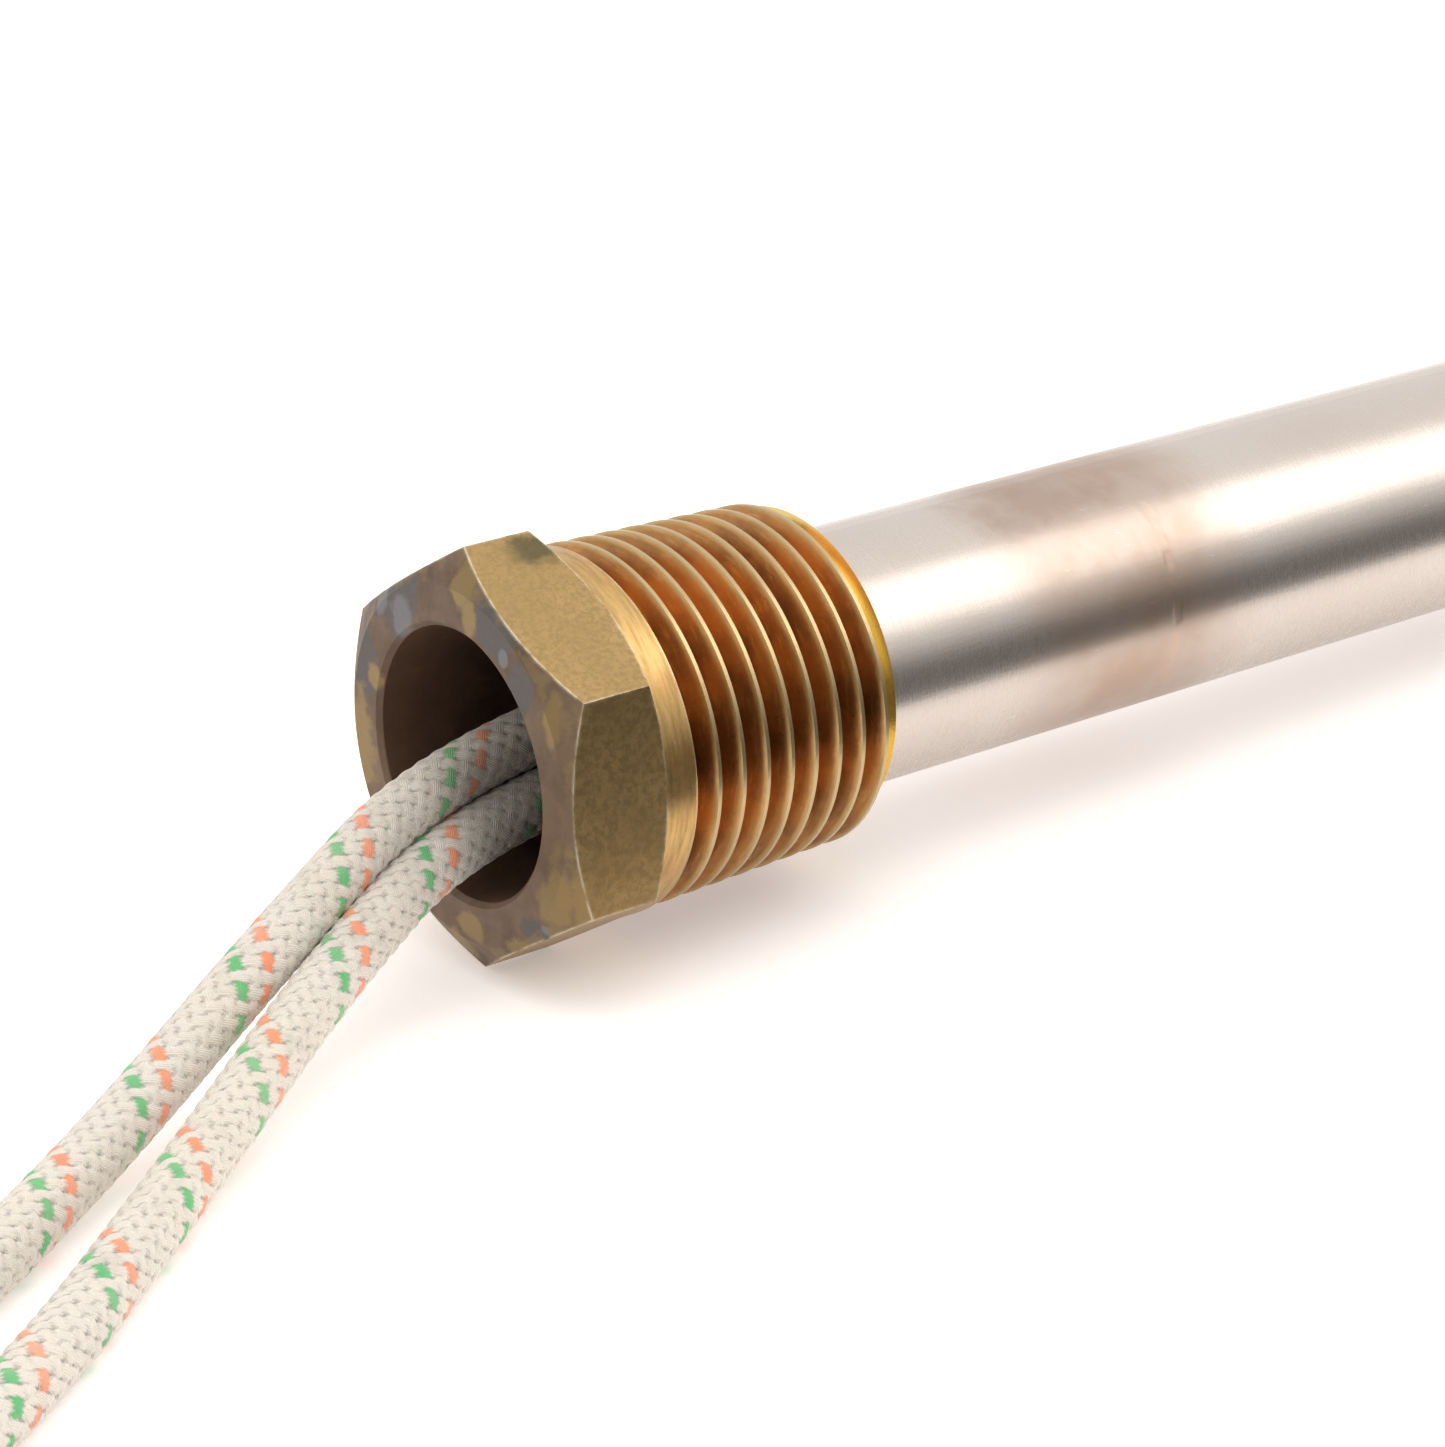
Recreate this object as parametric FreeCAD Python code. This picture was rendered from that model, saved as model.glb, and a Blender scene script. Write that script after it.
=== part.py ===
import FreeCAD, Part
import math
import os

os.makedirs("parts", exist_ok=True)
V = FreeCAD.Vector

# ---------------------------------------------------------------- sizes, millimetres
# Frame: X is the axis of the probe and points to its closed tip, Z is up, and the
# origin is on the axis where the tapered pipe thread begins, beside the neck.

# brass bushing: 11/16 inch hexagon, 3/8-18 tapered pipe thread
HEX_FLATS = 17.46
HEX_FACE_X = -7.1
HEX_BACK_X = -1.86
HEX_FRONT_CIRCLE = 16.80
CHAMFER_ANGLE = 30.0
NECK_DIA = 17.44
THREAD_PITCH = 1.411
THREAD_LENGTH = 12.3
THREAD_LARGE_DIA = 17.30
THREAD_DEPTH = 1.00
THREAD_ROOT_FLAT = 0.06
THREAD_OVERCUT = 0.12
THREAD_RUN_OUT = 0.15
THREAD_TAPER = 1.0 / 16.0
THREAD_START_ANGLE = 229.0
NOSE_CHAMFER_LENGTH = 0.75
NOSE_CHAMFER_RISE = 0.85
BORE_EDGE_BREAK = 0.25

# stainless sheath, with its end turned down to a spigot that seats in the bushing
SHEATH_DIA = 12.70
SHEATH_WALL = 0.90
SHEATH_TIP_X = 150.0
SHEATH_REAR_X = 4.6
SHEATH_SLIP = 0.10
SHEATH_SPIGOT_STEP = 0.20
CAP_DISC = 1.20
CAP_SPIGOT = 1.80
CAP_EDGE_ROUND = 0.90
WELD_BEAD = 0.15
BRAZE_LEG = 0.55
INNER_BRAZE_LENGTH = 1.1

# leads: two glass-braided wires
LEAD_DIA = 2.80
LEAD_CORE = 1.10
LEAD_BARE = 5.0
CEMENT_RECESS = 0.4
CEMENT_LENGTH = 6.0
LEAD_BEYOND_CEMENT = 6.0
LEAD_A_HOLE = (3.00, -0.35)
LEAD_B_HOLE = (1.15, -2.70)

# coil of spare lead
COIL_CENTRE = (-68.0, -12.0)
COIL_MEAN_RADIUS = 14.0
COIL_TURN_GAP = 0.10
COIL_FULL_LAYERS = 2
TAIL_A_ANGLE = 210.0
TAIL_B_ANGLE = 195.0
TAIL_SECTOR_END = 285.0
TIE_WIDTH = 3.2
TIE_THICK = 0.9
TIE_UNDER = 0.5
TIE_ANGLE = 80.0
TAIL_LENGTH = 28.0
END_SLEEVE_DIA = 3.8
END_SLEEVE_LENGTH = 12.0
FERRULE_DIA = 1.9
FERRULE_FLANGE_DIA = 3.4
FERRULE_FLANGE = 1.4
FERRULE_LENGTH = 9.0

# inside of the sheath
WIRE_DIA = 0.80
WIRE_OFFSET = 1.20
FIT_GAP = 0.10
CRIMP_LENGTH = 8.0
CRIMP_DIA = 1.80
CRIMP_COVER_DIA = 2.70
WIRE_BEND_END_X = 34.0
BEAD_COUNT = 6
BEAD_DIA = 6.0
BEAD_GAP = 0.60
BEADS_X = 36.0
BEADS_TO_SPACER = 0.40
FORMER_DIA = 5.0
FORMER_LENGTH = 40.0
WINDING_WIRE = 0.40
WINDING_PITCH = 1.60
WINDING_TURNS = 18
SPACER_THICK = 2.5
PAD_LENGTH = 3.5
TIP_ROOM = 1.4

# ---------------------------------------------------------------- derived sizes
HEX_RADIUS = HEX_FLATS / 2 / math.cos(math.pi / 6)
SHEATH_RADIUS = SHEATH_DIA / 2
SHEATH_BORE = SHEATH_DIA - 2 * SHEATH_WALL
BUSHING_BORE = SHEATH_DIA + SHEATH_SLIP
SPIGOT_RADIUS = SHEATH_RADIUS - SHEATH_SPIGOT_STEP
SEAT_BORE = BUSHING_BORE - 2 * SHEATH_SPIGOT_STEP
SEAT_X = SHEATH_REAR_X - INNER_BRAZE_LENGTH
NOSE_X = THREAD_LENGTH
CHAMFER_TAN = math.tan(math.radians(CHAMFER_ANGLE))
HEX_CORNER_BACK_X = HEX_BACK_X - (HEX_RADIUS - NECK_DIA / 2) * CHAMFER_TAN
TAPER_HALF = THREAD_TAPER / 2
NOSE_CREST_RADIUS = THREAD_LARGE_DIA / 2 - TAPER_HALF * THREAD_LENGTH
SHEATH_SHOULDER_X = NOSE_X + BRAZE_LEG
CAP_DISC_X = SHEATH_TIP_X - CAP_DISC
PAD_X = CAP_DISC_X - CAP_SPIGOT - TIP_ROOM - PAD_LENGTH
FORMER_X = PAD_X - FIT_GAP - FORMER_LENGTH
SPACER_X = FORMER_X - FIT_GAP - SPACER_THICK
BEAD_PITCH = (SPACER_X - BEADS_TO_SPACER - BEADS_X + BEAD_GAP) / BEAD_COUNT
BEAD_LENGTH = BEAD_PITCH - BEAD_GAP
CEMENT_REAR_X = SHEATH_REAR_X + CEMENT_RECESS
CEMENT_FRONT_X = CEMENT_REAR_X + CEMENT_LENGTH
LEAD_INNER_X = CEMENT_FRONT_X + LEAD_BEYOND_CEMENT

# the table touches the lowest corner of the hexagon and the tip of the sheath
TABLE_SLOPE = (HEX_RADIUS - SHEATH_RADIUS) / (CAP_DISC_X - HEX_CORNER_BACK_X)

LEAD_RADIUS = LEAD_DIA / 2
COIL_INNER_TURN = COIL_MEAN_RADIUS - LEAD_RADIUS - COIL_TURN_GAP / 2
COIL_OUTER_TURN = COIL_MEAN_RADIUS + LEAD_RADIUS + COIL_TURN_GAP / 2

# share of the tail's length, and how high its middle is over the table there
TAIL_PROFILE = (
    (0.30, LEAD_DIA * (COIL_FULL_LAYERS + 0.3)),
    (0.64, END_SLEEVE_DIA / 2 + 0.2),
    (1.00, END_SLEEVE_DIA / 2),
)

solids = {}


def table_z(x):
    return -HEX_RADIUS + TABLE_SLOPE * (x - HEX_CORNER_BACK_X)


def keep(name, shape):
    solids[name] = shape


def ring_x(profile):
    """Solid of revolution about X from (x, radius) points."""
    points = [V(x, 0, r) for x, r in profile]
    face = Part.Face(Part.makePolygon(points + [points[0]]))
    return face.revolve(V(0, 0, 0), V(1, 0, 0), 360)


def rod_x(x0, x1, dia, y=0.0, z=0.0):
    return Part.makeCylinder(dia / 2, x1 - x0, V(x0, y, z), V(1, 0, 0))


def rounded_path(points):
    """Straight runs joined by tangent arcs. Returns the wire, its length and radii."""
    edges = []
    radii = []
    start = points[0]
    for before, corner, after in zip(points, points[1:], points[2:]):
        back = before - corner
        ahead = after - corner
        turn = math.pi - back.getAngle(ahead)
        reach = 0.45 * min(back.Length, ahead.Length)
        radii.append(reach / math.tan(turn / 2))
        back.normalize()
        ahead.normalize()
        arc_in = corner + back * reach
        arc_out = corner + ahead * reach
        bisector = back + ahead
        bisector.normalize()
        depth = radii[-1] * (1 / math.cos(turn / 2) - 1)
        edges.append(Part.LineSegment(start, arc_in).toShape())
        edges.append(Part.Arc(arc_in, corner + bisector * depth, arc_out).toShape())
        start = arc_out
    edges.append(Part.LineSegment(start, points[-1]).toShape())
    wire = Part.Wire(edges)
    return wire, wire.Length, radii


def tube_along(name, points, dia):
    wire, length, radii = rounded_path(points)
    heading = points[1] - points[0]
    section = Part.Wire(Part.makeCircle(dia / 2, points[0], heading))
    tube = wire.makePipeShell([section], True, False)
    share = tube.Volume / (math.pi * dia * dia / 4 * length)
    shown = ", ".join("%.1f" % r for r in radii)
    print("%s length %.1f radii %s volume share %.4f" % (name, length, shown, share))
    return tube


# ---------------------------------------------------------------- bushing


def hexagon():
    corners = []
    for step in range(7):
        angle = math.radians(90 + 60 * step)
        corners.append(V(HEX_FACE_X, HEX_RADIUS * math.cos(angle), HEX_RADIUS * math.sin(angle)))
    prism = Part.Face(Part.makePolygon(corners)).extrude(V(-HEX_FACE_X, 0, 0))
    front = HEX_FRONT_CIRCLE / 2
    outer = HEX_RADIUS + 1.0
    turned = ring_x(
        [
            (HEX_FACE_X, 0),
            (HEX_FACE_X, front),
            (HEX_FACE_X + (outer - front) * CHAMFER_TAN, outer),
            (HEX_BACK_X - (outer - NECK_DIA / 2) * CHAMFER_TAN, outer),
            (HEX_BACK_X, NECK_DIA / 2),
            (HEX_BACK_X, 0),
        ]
    )
    return prism.common(turned)


def threaded_stem():
    nose_start = NOSE_X - NOSE_CHAMFER_LENGTH
    stem = ring_x(
        [
            (HEX_BACK_X - 1.0, 0),
            (HEX_BACK_X - 1.0, HEX_FLATS / 2 - 0.2),
            (HEX_BACK_X, NECK_DIA / 2),
            (-0.25, NECK_DIA / 2),
            (0.0, THREAD_LARGE_DIA / 2),
            (nose_start, NOSE_CREST_RADIUS + TAPER_HALF * NOSE_CHAMFER_LENGTH),
            (NOSE_X, NOSE_CREST_RADIUS - NOSE_CHAMFER_RISE),
            (NOSE_X, 0),
        ]
    )
    return stem.cut(thread_groove())


def thread_groove():
    """V groove wound on the taper, made along Z from the nose and then laid over."""
    lead_in = 2 * THREAD_PITCH
    height = THREAD_LENGTH + lead_in + THREAD_RUN_OUT
    radius = NOSE_CREST_RADIUS - TAPER_HALF * lead_in
    angle = math.degrees(math.atan(TAPER_HALF))
    spine = Part.makeLongHelix(THREAD_PITCH, height, radius, angle)
    top = THREAD_OVERCUT
    half_root = THREAD_ROOT_FLAT / 2
    half_top = half_root + (THREAD_DEPTH + top) * math.tan(math.radians(30))
    outline = [
        V(radius - THREAD_DEPTH, 0, -half_root),
        V(radius + top, 0, -half_top),
        V(radius + top, 0, half_top),
        V(radius - THREAD_DEPTH, 0, half_root),
    ]
    profile = Part.makePolygon(outline + [outline[0]])
    groove = Part.Wire(spine).makePipeShell([profile], True, True)
    groove.rotate(V(0, 0, 0), V(0, 1, 0), -90)
    groove.translate(V(NOSE_X + lead_in, 0, 0))
    groove.rotate(V(0, 0, 0), V(1, 0, 0), THREAD_START_ANGLE)
    return groove


def bushing():
    body = hexagon().fuse(threaded_stem()).removeSplitter()
    bore = rod_x(HEX_FACE_X - 1.0, SEAT_X, BUSHING_BORE)
    seat = rod_x(SEAT_X, NOSE_X + 1.0, SEAT_BORE)
    edge = ring_x(
        [
            (HEX_FACE_X - 0.01, 0),
            (HEX_FACE_X - 0.01, BUSHING_BORE / 2 + BORE_EDGE_BREAK),
            (HEX_FACE_X + BORE_EDGE_BREAK, BUSHING_BORE / 2),
            (HEX_FACE_X + BORE_EDGE_BREAK, 0),
        ]
    )
    keep("bushing", body.cut(bore.fuse(seat)).cut(edge))


def braze_rings():
    fillet = [(NOSE_X, SPIGOT_RADIUS), (NOSE_X, SHEATH_RADIUS + BRAZE_LEG)]
    shoulder = [(SHEATH_SHOULDER_X, SHEATH_RADIUS), (SHEATH_SHOULDER_X, SPIGOT_RADIUS)]
    keep("nose_braze", ring_x(fillet + shoulder))
    hole = SEAT_BORE / 2
    inner = (SHEATH_REAR_X, SHEATH_BORE / 2 + 0.1)
    keep("inner_braze", ring_x([inner, (SEAT_X, hole), (SHEATH_REAR_X, hole)]))


# ---------------------------------------------------------------- sheath


def sheath():
    spigot_end = rod_x(SHEATH_REAR_X, SHEATH_SHOULDER_X, 2 * SPIGOT_RADIUS)
    outer = spigot_end.fuse(rod_x(SHEATH_SHOULDER_X, CAP_DISC_X, SHEATH_DIA))
    keep("sheath_tube", outer.cut(rod_x(SHEATH_REAR_X - 1, CAP_DISC_X + 1, SHEATH_BORE)))
    r = SHEATH_RADIUS
    spigot = SHEATH_BORE / 2 - FIT_GAP / 2
    arc = []
    for step in range(7):
        angle = math.radians(15 * step)
        x = SHEATH_TIP_X - CAP_EDGE_ROUND * (1 - math.sin(angle))
        arc.append((x, r - CAP_EDGE_ROUND * (1 - math.cos(angle))))
    cap = [(CAP_DISC_X - CAP_SPIGOT, 0), (CAP_DISC_X - CAP_SPIGOT, spigot), (CAP_DISC_X, spigot)]
    keep("tip_cap", ring_x(cap + [(CAP_DISC_X, r)] + arc + [(SHEATH_TIP_X, 0)]))
    bead = Part.makeTorus(r - 0.02, WELD_BEAD, V(CAP_DISC_X, 0, 0), V(1, 0, 0))
    keep("tip_weld", bead.cut(rod_x(CAP_DISC_X - 2, CAP_DISC_X + 2, SHEATH_DIA)))


# ---------------------------------------------------------------- sensing element


def element():
    former_end = FORMER_X + FORMER_LENGTH
    former = rod_x(FORMER_X, former_end, FORMER_DIA)
    for side in (1, -1):
        hole = rod_x(FORMER_X - 1, FORMER_X + 9, WIRE_DIA + FIT_GAP, 0, side * WIRE_OFFSET)
        former = former.cut(hole)
    keep("element_former", former)
    coil_radius = FORMER_DIA / 2 + WINDING_WIRE / 2 + 0.03
    height = WINDING_PITCH * WINDING_TURNS
    spine = Part.makeHelix(WINDING_PITCH, height, coil_radius)
    section = Part.Wire(Part.makeCircle(WINDING_WIRE / 2, V(coil_radius, 0, 0), V(0, 1, 0)))
    winding = Part.Wire(spine).makePipeShell([section], True, True)
    winding.rotate(V(0, 0, 0), V(0, 1, 0), 90)
    winding.translate(V(FORMER_X + (FORMER_LENGTH - height) / 2, 0, 0))
    keep("element_winding", winding)
    disc = SHEATH_BORE - FIT_GAP
    spacer = rod_x(SPACER_X, SPACER_X + SPACER_THICK, disc)
    for side in (1, -1):
        spacer = spacer.cut(
            rod_x(SPACER_X - 1, FORMER_X, WIRE_DIA + FIT_GAP, 0, side * WIRE_OFFSET)
        )
    keep("element_spacer", spacer)
    keep("tip_pad", rod_x(PAD_X, PAD_X + PAD_LENGTH, disc))


def beads():
    for index in range(BEAD_COUNT):
        x = BEADS_X + index * BEAD_PITCH
        bead = rod_x(x, x + BEAD_LENGTH, BEAD_DIA)
        for side in (1, -1):
            hole = rod_x(x - 1, x + BEAD_LENGTH + 1, WIRE_DIA + FIT_GAP, 0, side * WIRE_OFFSET)
            bead = bead.cut(hole)
        keep("insulator_bead_%d" % (index + 1), bead)


def inner_wiring(side_name, hole, side):
    y, z = hole
    crimp_x = LEAD_INNER_X + LEAD_BARE - CRIMP_LENGTH / 2
    jacket = rod_x(CEMENT_REAR_X, LEAD_INNER_X, LEAD_DIA, y, z)
    core = rod_x(LEAD_INNER_X, LEAD_INNER_X + LEAD_BARE, LEAD_CORE, y, z)
    keep("lead_inner_" + side_name, jacket.fuse(core).removeSplitter())
    crimp = rod_x(crimp_x, crimp_x + CRIMP_LENGTH, CRIMP_DIA, y, z)
    crimp = crimp.cut(rod_x(crimp_x - 1, LEAD_INNER_X + LEAD_BARE, LEAD_CORE, y, z))
    crimp = crimp.cut(
        rod_x(LEAD_INNER_X + LEAD_BARE, crimp_x + CRIMP_LENGTH + 1, WIRE_DIA, y, z)
    )
    keep("crimp_" + side_name, crimp)
    cover_end = crimp_x + CRIMP_LENGTH
    cover = rod_x(crimp_x, cover_end, CRIMP_COVER_DIA, y, z)
    cover = cover.cut(rod_x(crimp_x - 1, cover_end + 1, CRIMP_DIA, y, z))
    keep("crimp_cover_" + side_name, cover)
    level = side * WIRE_OFFSET
    bend_x = cover_end + 1.5
    points = [
        V(LEAD_INNER_X + LEAD_BARE, y, z),
        V(bend_x, y, z),
        V(WIRE_BEND_END_X, 0, level),
        V(FORMER_X + 8, 0, level),
    ]
    keep("extension_wire_" + side_name, tube_along("extension_wire_" + side_name, points, WIRE_DIA))


def rear_cement():
    plug = rod_x(CEMENT_REAR_X, CEMENT_FRONT_X, SHEATH_BORE)
    for y, z in (LEAD_A_HOLE, LEAD_B_HOLE):
        plug = plug.cut(rod_x(CEMENT_REAR_X - 1, CEMENT_FRONT_X + 1, LEAD_DIA, y, z))
    keep("rear_cement", plug)


# ---------------------------------------------------------------- leads


def coil_entry(start, radius):
    """Where a straight run from start meets the coil tangentially, coil on its right."""
    dx = COIL_CENTRE[0] - start[0]
    dy = COIL_CENTRE[1] - start[1]
    away = math.hypot(dx, dy)
    swing = math.atan2(dy, dx) + math.asin(radius / away)
    run = math.sqrt(away * away - radius * radius)
    return start[0] + run * math.cos(swing), start[1] + run * math.sin(swing)


def on_table(x, y, lift):
    return V(x, y, table_z(x) + lift)


def lead_route(hole, bends, radius):
    points = [V(CEMENT_REAR_X, hole[0], hole[1])]
    for x, y, z in bends:
        points.append(V(x, y, z))
    last = bends[-1]
    ex, ey = coil_entry(last, radius)
    points.append(on_table(ex, ey, LEAD_RADIUS))
    return points


LEAD_A_BENDS = (
    (-6.0, 2.7, -0.65),
    (-19.0, -2.3, -5.15),
    (-29.5, -6.7, -9.00),
    (-41.0, -14.3, table_z(-41.0) + LEAD_RADIUS),
    (-53.0, -21.0, table_z(-53.0) + LEAD_RADIUS),
)
LEAD_B_BENDS = (
    (-5.5, 1.5, -3.25),
    (-17.5, -4.4, -6.30),
    (-28.5, -11.3, -9.30),
    (-43.0, -23.1, table_z(-43.0) + LEAD_RADIUS),
    (-56.0, -29.2, table_z(-56.0) + LEAD_RADIUS),
)


def free_leads():
    for name, hole, bends, radius in (
        ("lead_a", LEAD_A_HOLE, LEAD_A_BENDS, COIL_INNER_TURN),
        ("lead_b", LEAD_B_HOLE, LEAD_B_BENDS, COIL_OUTER_TURN),
    ):
        keep(name, tube_along(name, lead_route(hole, bends, radius), LEAD_DIA))


def coil_point(radius, angle, lift):
    x = COIL_CENTRE[0] + radius * math.cos(angle)
    y = COIL_CENTRE[1] + radius * math.sin(angle)
    return on_table(x, y, lift)


def lay_on_table(shape):
    """Leans a shape made above z = 0 onto the table, about the centre of the coil."""
    shape.rotate(V(COIL_CENTRE[0], 0, 0), V(0, 1, 0), -math.degrees(math.atan(TABLE_SLOPE)))
    shape.translate(V(0, 0, table_z(COIL_CENTRE[0])))
    return shape


def lead_coil():
    """Outer shape of the wound leads: two whole layers, and a third where the ends leave."""
    cx, cy = COIL_CENTRE
    height = COIL_FULL_LAYERS * LEAD_DIA
    inner = COIL_INNER_TURN - LEAD_RADIUS
    outer = COIL_OUTER_TURN + LEAD_RADIUS
    body = Part.makeCylinder(outer, height, V(cx, cy, 0))
    sector = TAIL_SECTOR_END - TAIL_B_ANGLE
    third = Part.makeCylinder(outer, height + LEAD_DIA, V(0, 0, 0), V(0, 0, 1), sector)
    third.rotate(V(0, 0, 0), V(0, 0, 1), TAIL_B_ANGLE)
    third.translate(V(cx, cy, 0))
    body = body.fuse(third)
    body = body.cut(Part.makeCylinder(inner, height + 2 * LEAD_DIA, V(cx, cy, 0)))
    body = lay_on_table(body)
    for name in ("lead_a", "lead_b", "lead_tail_a", "lead_tail_b", "coil_tie"):
        body = body.cut(solids[name])
    keep("lead_coil", biggest(body))


def biggest(shape):
    return max(shape.Solids, key=lambda s: s.Volume)


def coil_tie():
    cx, cy = COIL_CENTRE
    gap = 0.15
    inner = COIL_INNER_TURN - LEAD_RADIUS - gap
    outer = COIL_OUTER_TURN + LEAD_RADIUS + gap
    top = COIL_FULL_LAYERS * LEAD_DIA + gap
    half = TIE_WIDTH / 2
    band = Part.makeBox(outer - inner + 2 * TIE_THICK, TIE_WIDTH, top + TIE_THICK)
    band.translate(V(inner - TIE_THICK, -half, 0))
    window = Part.makeBox(outer - inner, TIE_WIDTH + 2, top - TIE_UNDER)
    window.translate(V(inner, -half - 1, TIE_UNDER))
    head = Part.makeBox(4.6, TIE_WIDTH + 1.4, 3.4)
    head.translate(V((inner + outer) / 2 - 2.3, -half - 0.7, top + TIE_THICK - 0.4))
    tie = band.cut(window).fuse(head).removeSplitter()
    tie.rotate(V(0, 0, 0), V(0, 0, 1), TIE_ANGLE)
    tie.translate(V(cx, cy, 0))
    keep("coil_tie", lay_on_table(tie))


def tail_points(radius, turn_angle):
    """The tail leaves the top layer of the coil, comes down and lies on the table."""
    angle = math.radians(turn_angle)
    lift = LEAD_DIA * (COIL_FULL_LAYERS + 0.5)
    heading = V(math.sin(angle), -math.cos(angle), 0)
    start = coil_point(radius, angle, lift)
    points = [start]
    for share, height in TAIL_PROFILE:
        spot = start + heading * (TAIL_LENGTH * share)
        points.append(on_table(spot.x, spot.y, height))
    return points


def tails():
    for side, radius, turn_angle in (
        ("a", COIL_OUTER_TURN, TAIL_A_ANGLE),
        ("b", COIL_INNER_TURN, TAIL_B_ANGLE),
    ):
        points = tail_points(radius, turn_angle)
        name = "lead_tail_" + side
        keep(name, tube_along(name, points, LEAD_DIA))
        end = points[-1]
        heading = end - points[-2]
        heading.normalize()
        sleeve_from = end - heading * (END_SLEEVE_LENGTH - FERRULE_FLANGE)
        sleeve = Part.makeCylinder(END_SLEEVE_DIA / 2, END_SLEEVE_LENGTH, sleeve_from, heading)
        keep("end_sleeve_" + side, sleeve.cut(solids[name]).cut(ferrule(end, heading)))
        keep("end_ferrule_" + side, ferrule(end, heading))


def ferrule(end, heading):
    flange = Part.makeCylinder(FERRULE_FLANGE_DIA / 2, FERRULE_FLANGE, end, heading)
    barrel = Part.makeCylinder(FERRULE_DIA / 2, FERRULE_LENGTH, end, heading)
    return flange.fuse(barrel).removeSplitter()


def main():
    bushing()
    braze_rings()
    sheath()
    element()
    beads()
    inner_wiring("a", LEAD_A_HOLE, 1)
    inner_wiring("b", LEAD_B_HOLE, -1)
    rear_cement()
    free_leads()
    tails()
    coil_tie()
    lead_coil()
    for name, shape in solids.items():
        shape.exportStep("parts/" + name + ".step")
        box = shape.BoundBox
        print(
            "%-20s valid %s solids %d volume %.2f x %.2f..%.2f y %.2f..%.2f z %.2f..%.2f"
            % (name, shape.isValid(), len(shape.Solids), shape.Volume,
               box.XMin, box.XMax, box.YMin, box.YMax, box.ZMin, box.ZMax)
        )


main()
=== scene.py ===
import math
from collections import namedtuple

import bpy
import numpy as np
from bpy.props import FloatProperty, FloatVectorProperty, IntProperty, PointerProperty
from mathutils import Matrix, Vector


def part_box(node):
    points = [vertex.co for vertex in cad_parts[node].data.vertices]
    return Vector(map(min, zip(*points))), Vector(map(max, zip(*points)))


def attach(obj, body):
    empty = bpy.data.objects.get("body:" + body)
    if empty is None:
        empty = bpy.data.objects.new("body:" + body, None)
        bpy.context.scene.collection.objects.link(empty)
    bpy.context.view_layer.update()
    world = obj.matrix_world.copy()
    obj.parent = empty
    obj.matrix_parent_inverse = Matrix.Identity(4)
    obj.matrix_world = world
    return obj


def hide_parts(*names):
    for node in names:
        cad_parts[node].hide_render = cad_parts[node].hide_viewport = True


bl_info = {
    "name": "Flame Sensor Probe",
    "version": (1, 0, 0),
    "blender": (4, 5, 0),
    "location": "View3D > Sidebar > Probe",
    "description": "Builds the leads, finishes and stage of a sheathed flame sensor probe",
    "category": "Object",
}

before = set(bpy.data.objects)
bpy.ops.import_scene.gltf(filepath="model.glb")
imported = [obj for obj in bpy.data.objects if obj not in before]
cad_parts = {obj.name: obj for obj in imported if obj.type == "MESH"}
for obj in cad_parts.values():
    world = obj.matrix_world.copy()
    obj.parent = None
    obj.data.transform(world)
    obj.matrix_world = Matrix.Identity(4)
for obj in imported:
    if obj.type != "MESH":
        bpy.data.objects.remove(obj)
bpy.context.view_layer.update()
MM = 0.001

# ---------------------------------------------------------------- places
# Lengths are in metres. X is the probe's axis, towards its closed tip, and Z is up.
HEX_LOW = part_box("bushing")[0]
HEX_FACE_X = HEX_LOW.x
HEX_RADIUS = -HEX_LOW.z
CAP_DISC_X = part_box("sheath_tube")[1].x
SHEATH_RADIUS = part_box("sheath_tube")[1].z
BORE_RADIUS = 6.40 * MM
HEX_BACK_X = -1.86 * MM
HEX_CORNER_BACK_X = -2.645 * MM
THREAD_RADIUS = 8.65 * MM
THREAD_TAPER = 1 / 32
TABLE_REACH = 3.0
TABLE_FRONT_Y = -19.5 * MM
TABLE_SLOPE = (HEX_RADIUS - SHEATH_RADIUS) / (CAP_DISC_X - HEX_CORNER_BACK_X)

LEAD_DIA = 2.8 * MM
LEAD_RADIUS = LEAD_DIA / 2
COIL_CENTRE = (-68.0 * MM, -12.0 * MM)
COIL_INNER_TURN = 12.55 * MM
COIL_OUTER_TURN = 15.45 * MM
COIL_POINTS_PER_TURN = 24
COIL_LAYERS_BELOW = 2
COIL_TOP_LAYER = 2.0
LAST_CLIMB = (660, 720)
LAST_CLIMB_LAYERS = 1.5
TAIL_LENGTH = 28.0 * MM
TAIL_A_ANGLE = 210.0
TAIL_B_ANGLE = 195.0
END_SLEEVE_RADIUS = 1.9 * MM
TAIL_PROFILE = (
    (0.30, 2.3 * LEAD_DIA),
    (0.64, END_SLEEVE_RADIUS + 0.2 * MM),
    (1.0, END_SLEEVE_RADIUS),
)

# braid of the leads: its mesh, and the waves of its yarns
BRAID_FINE_LENGTH = 66.0 * MM
BRAID_FINE_STEP = 0.125 * MM
BRAID_COIL_STEP = 0.20 * MM
BRAID_POINTS_ROUND = 52
BRAID_SWELL = 0.02 * MM
YARN_CROWN = 0.62
YARN_WAVE = 0.38
YARNS_TO_SECOND_TRACER = 2

# points of each lead in millimetres; None lies on the table
LEAD_A_ROUTE = (
    (5.0, 3.00, -0.35),
    (-6.0, 2.7, -0.65),
    (-19.0, -2.3, -5.15),
    (-29.5, -6.7, -9.00),
    (-41.0, -14.3, None),
    (-53.0, -21.0, None),
)
LEAD_B_ROUTE = (
    (5.0, 1.15, -2.70),
    (-5.5, 1.5, -3.25),
    (-17.5, -4.4, -6.30),
    (-28.5, -11.3, -9.30),
    (-43.0, -23.1, None),
    (-56.0, -29.2, None),
)

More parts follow.
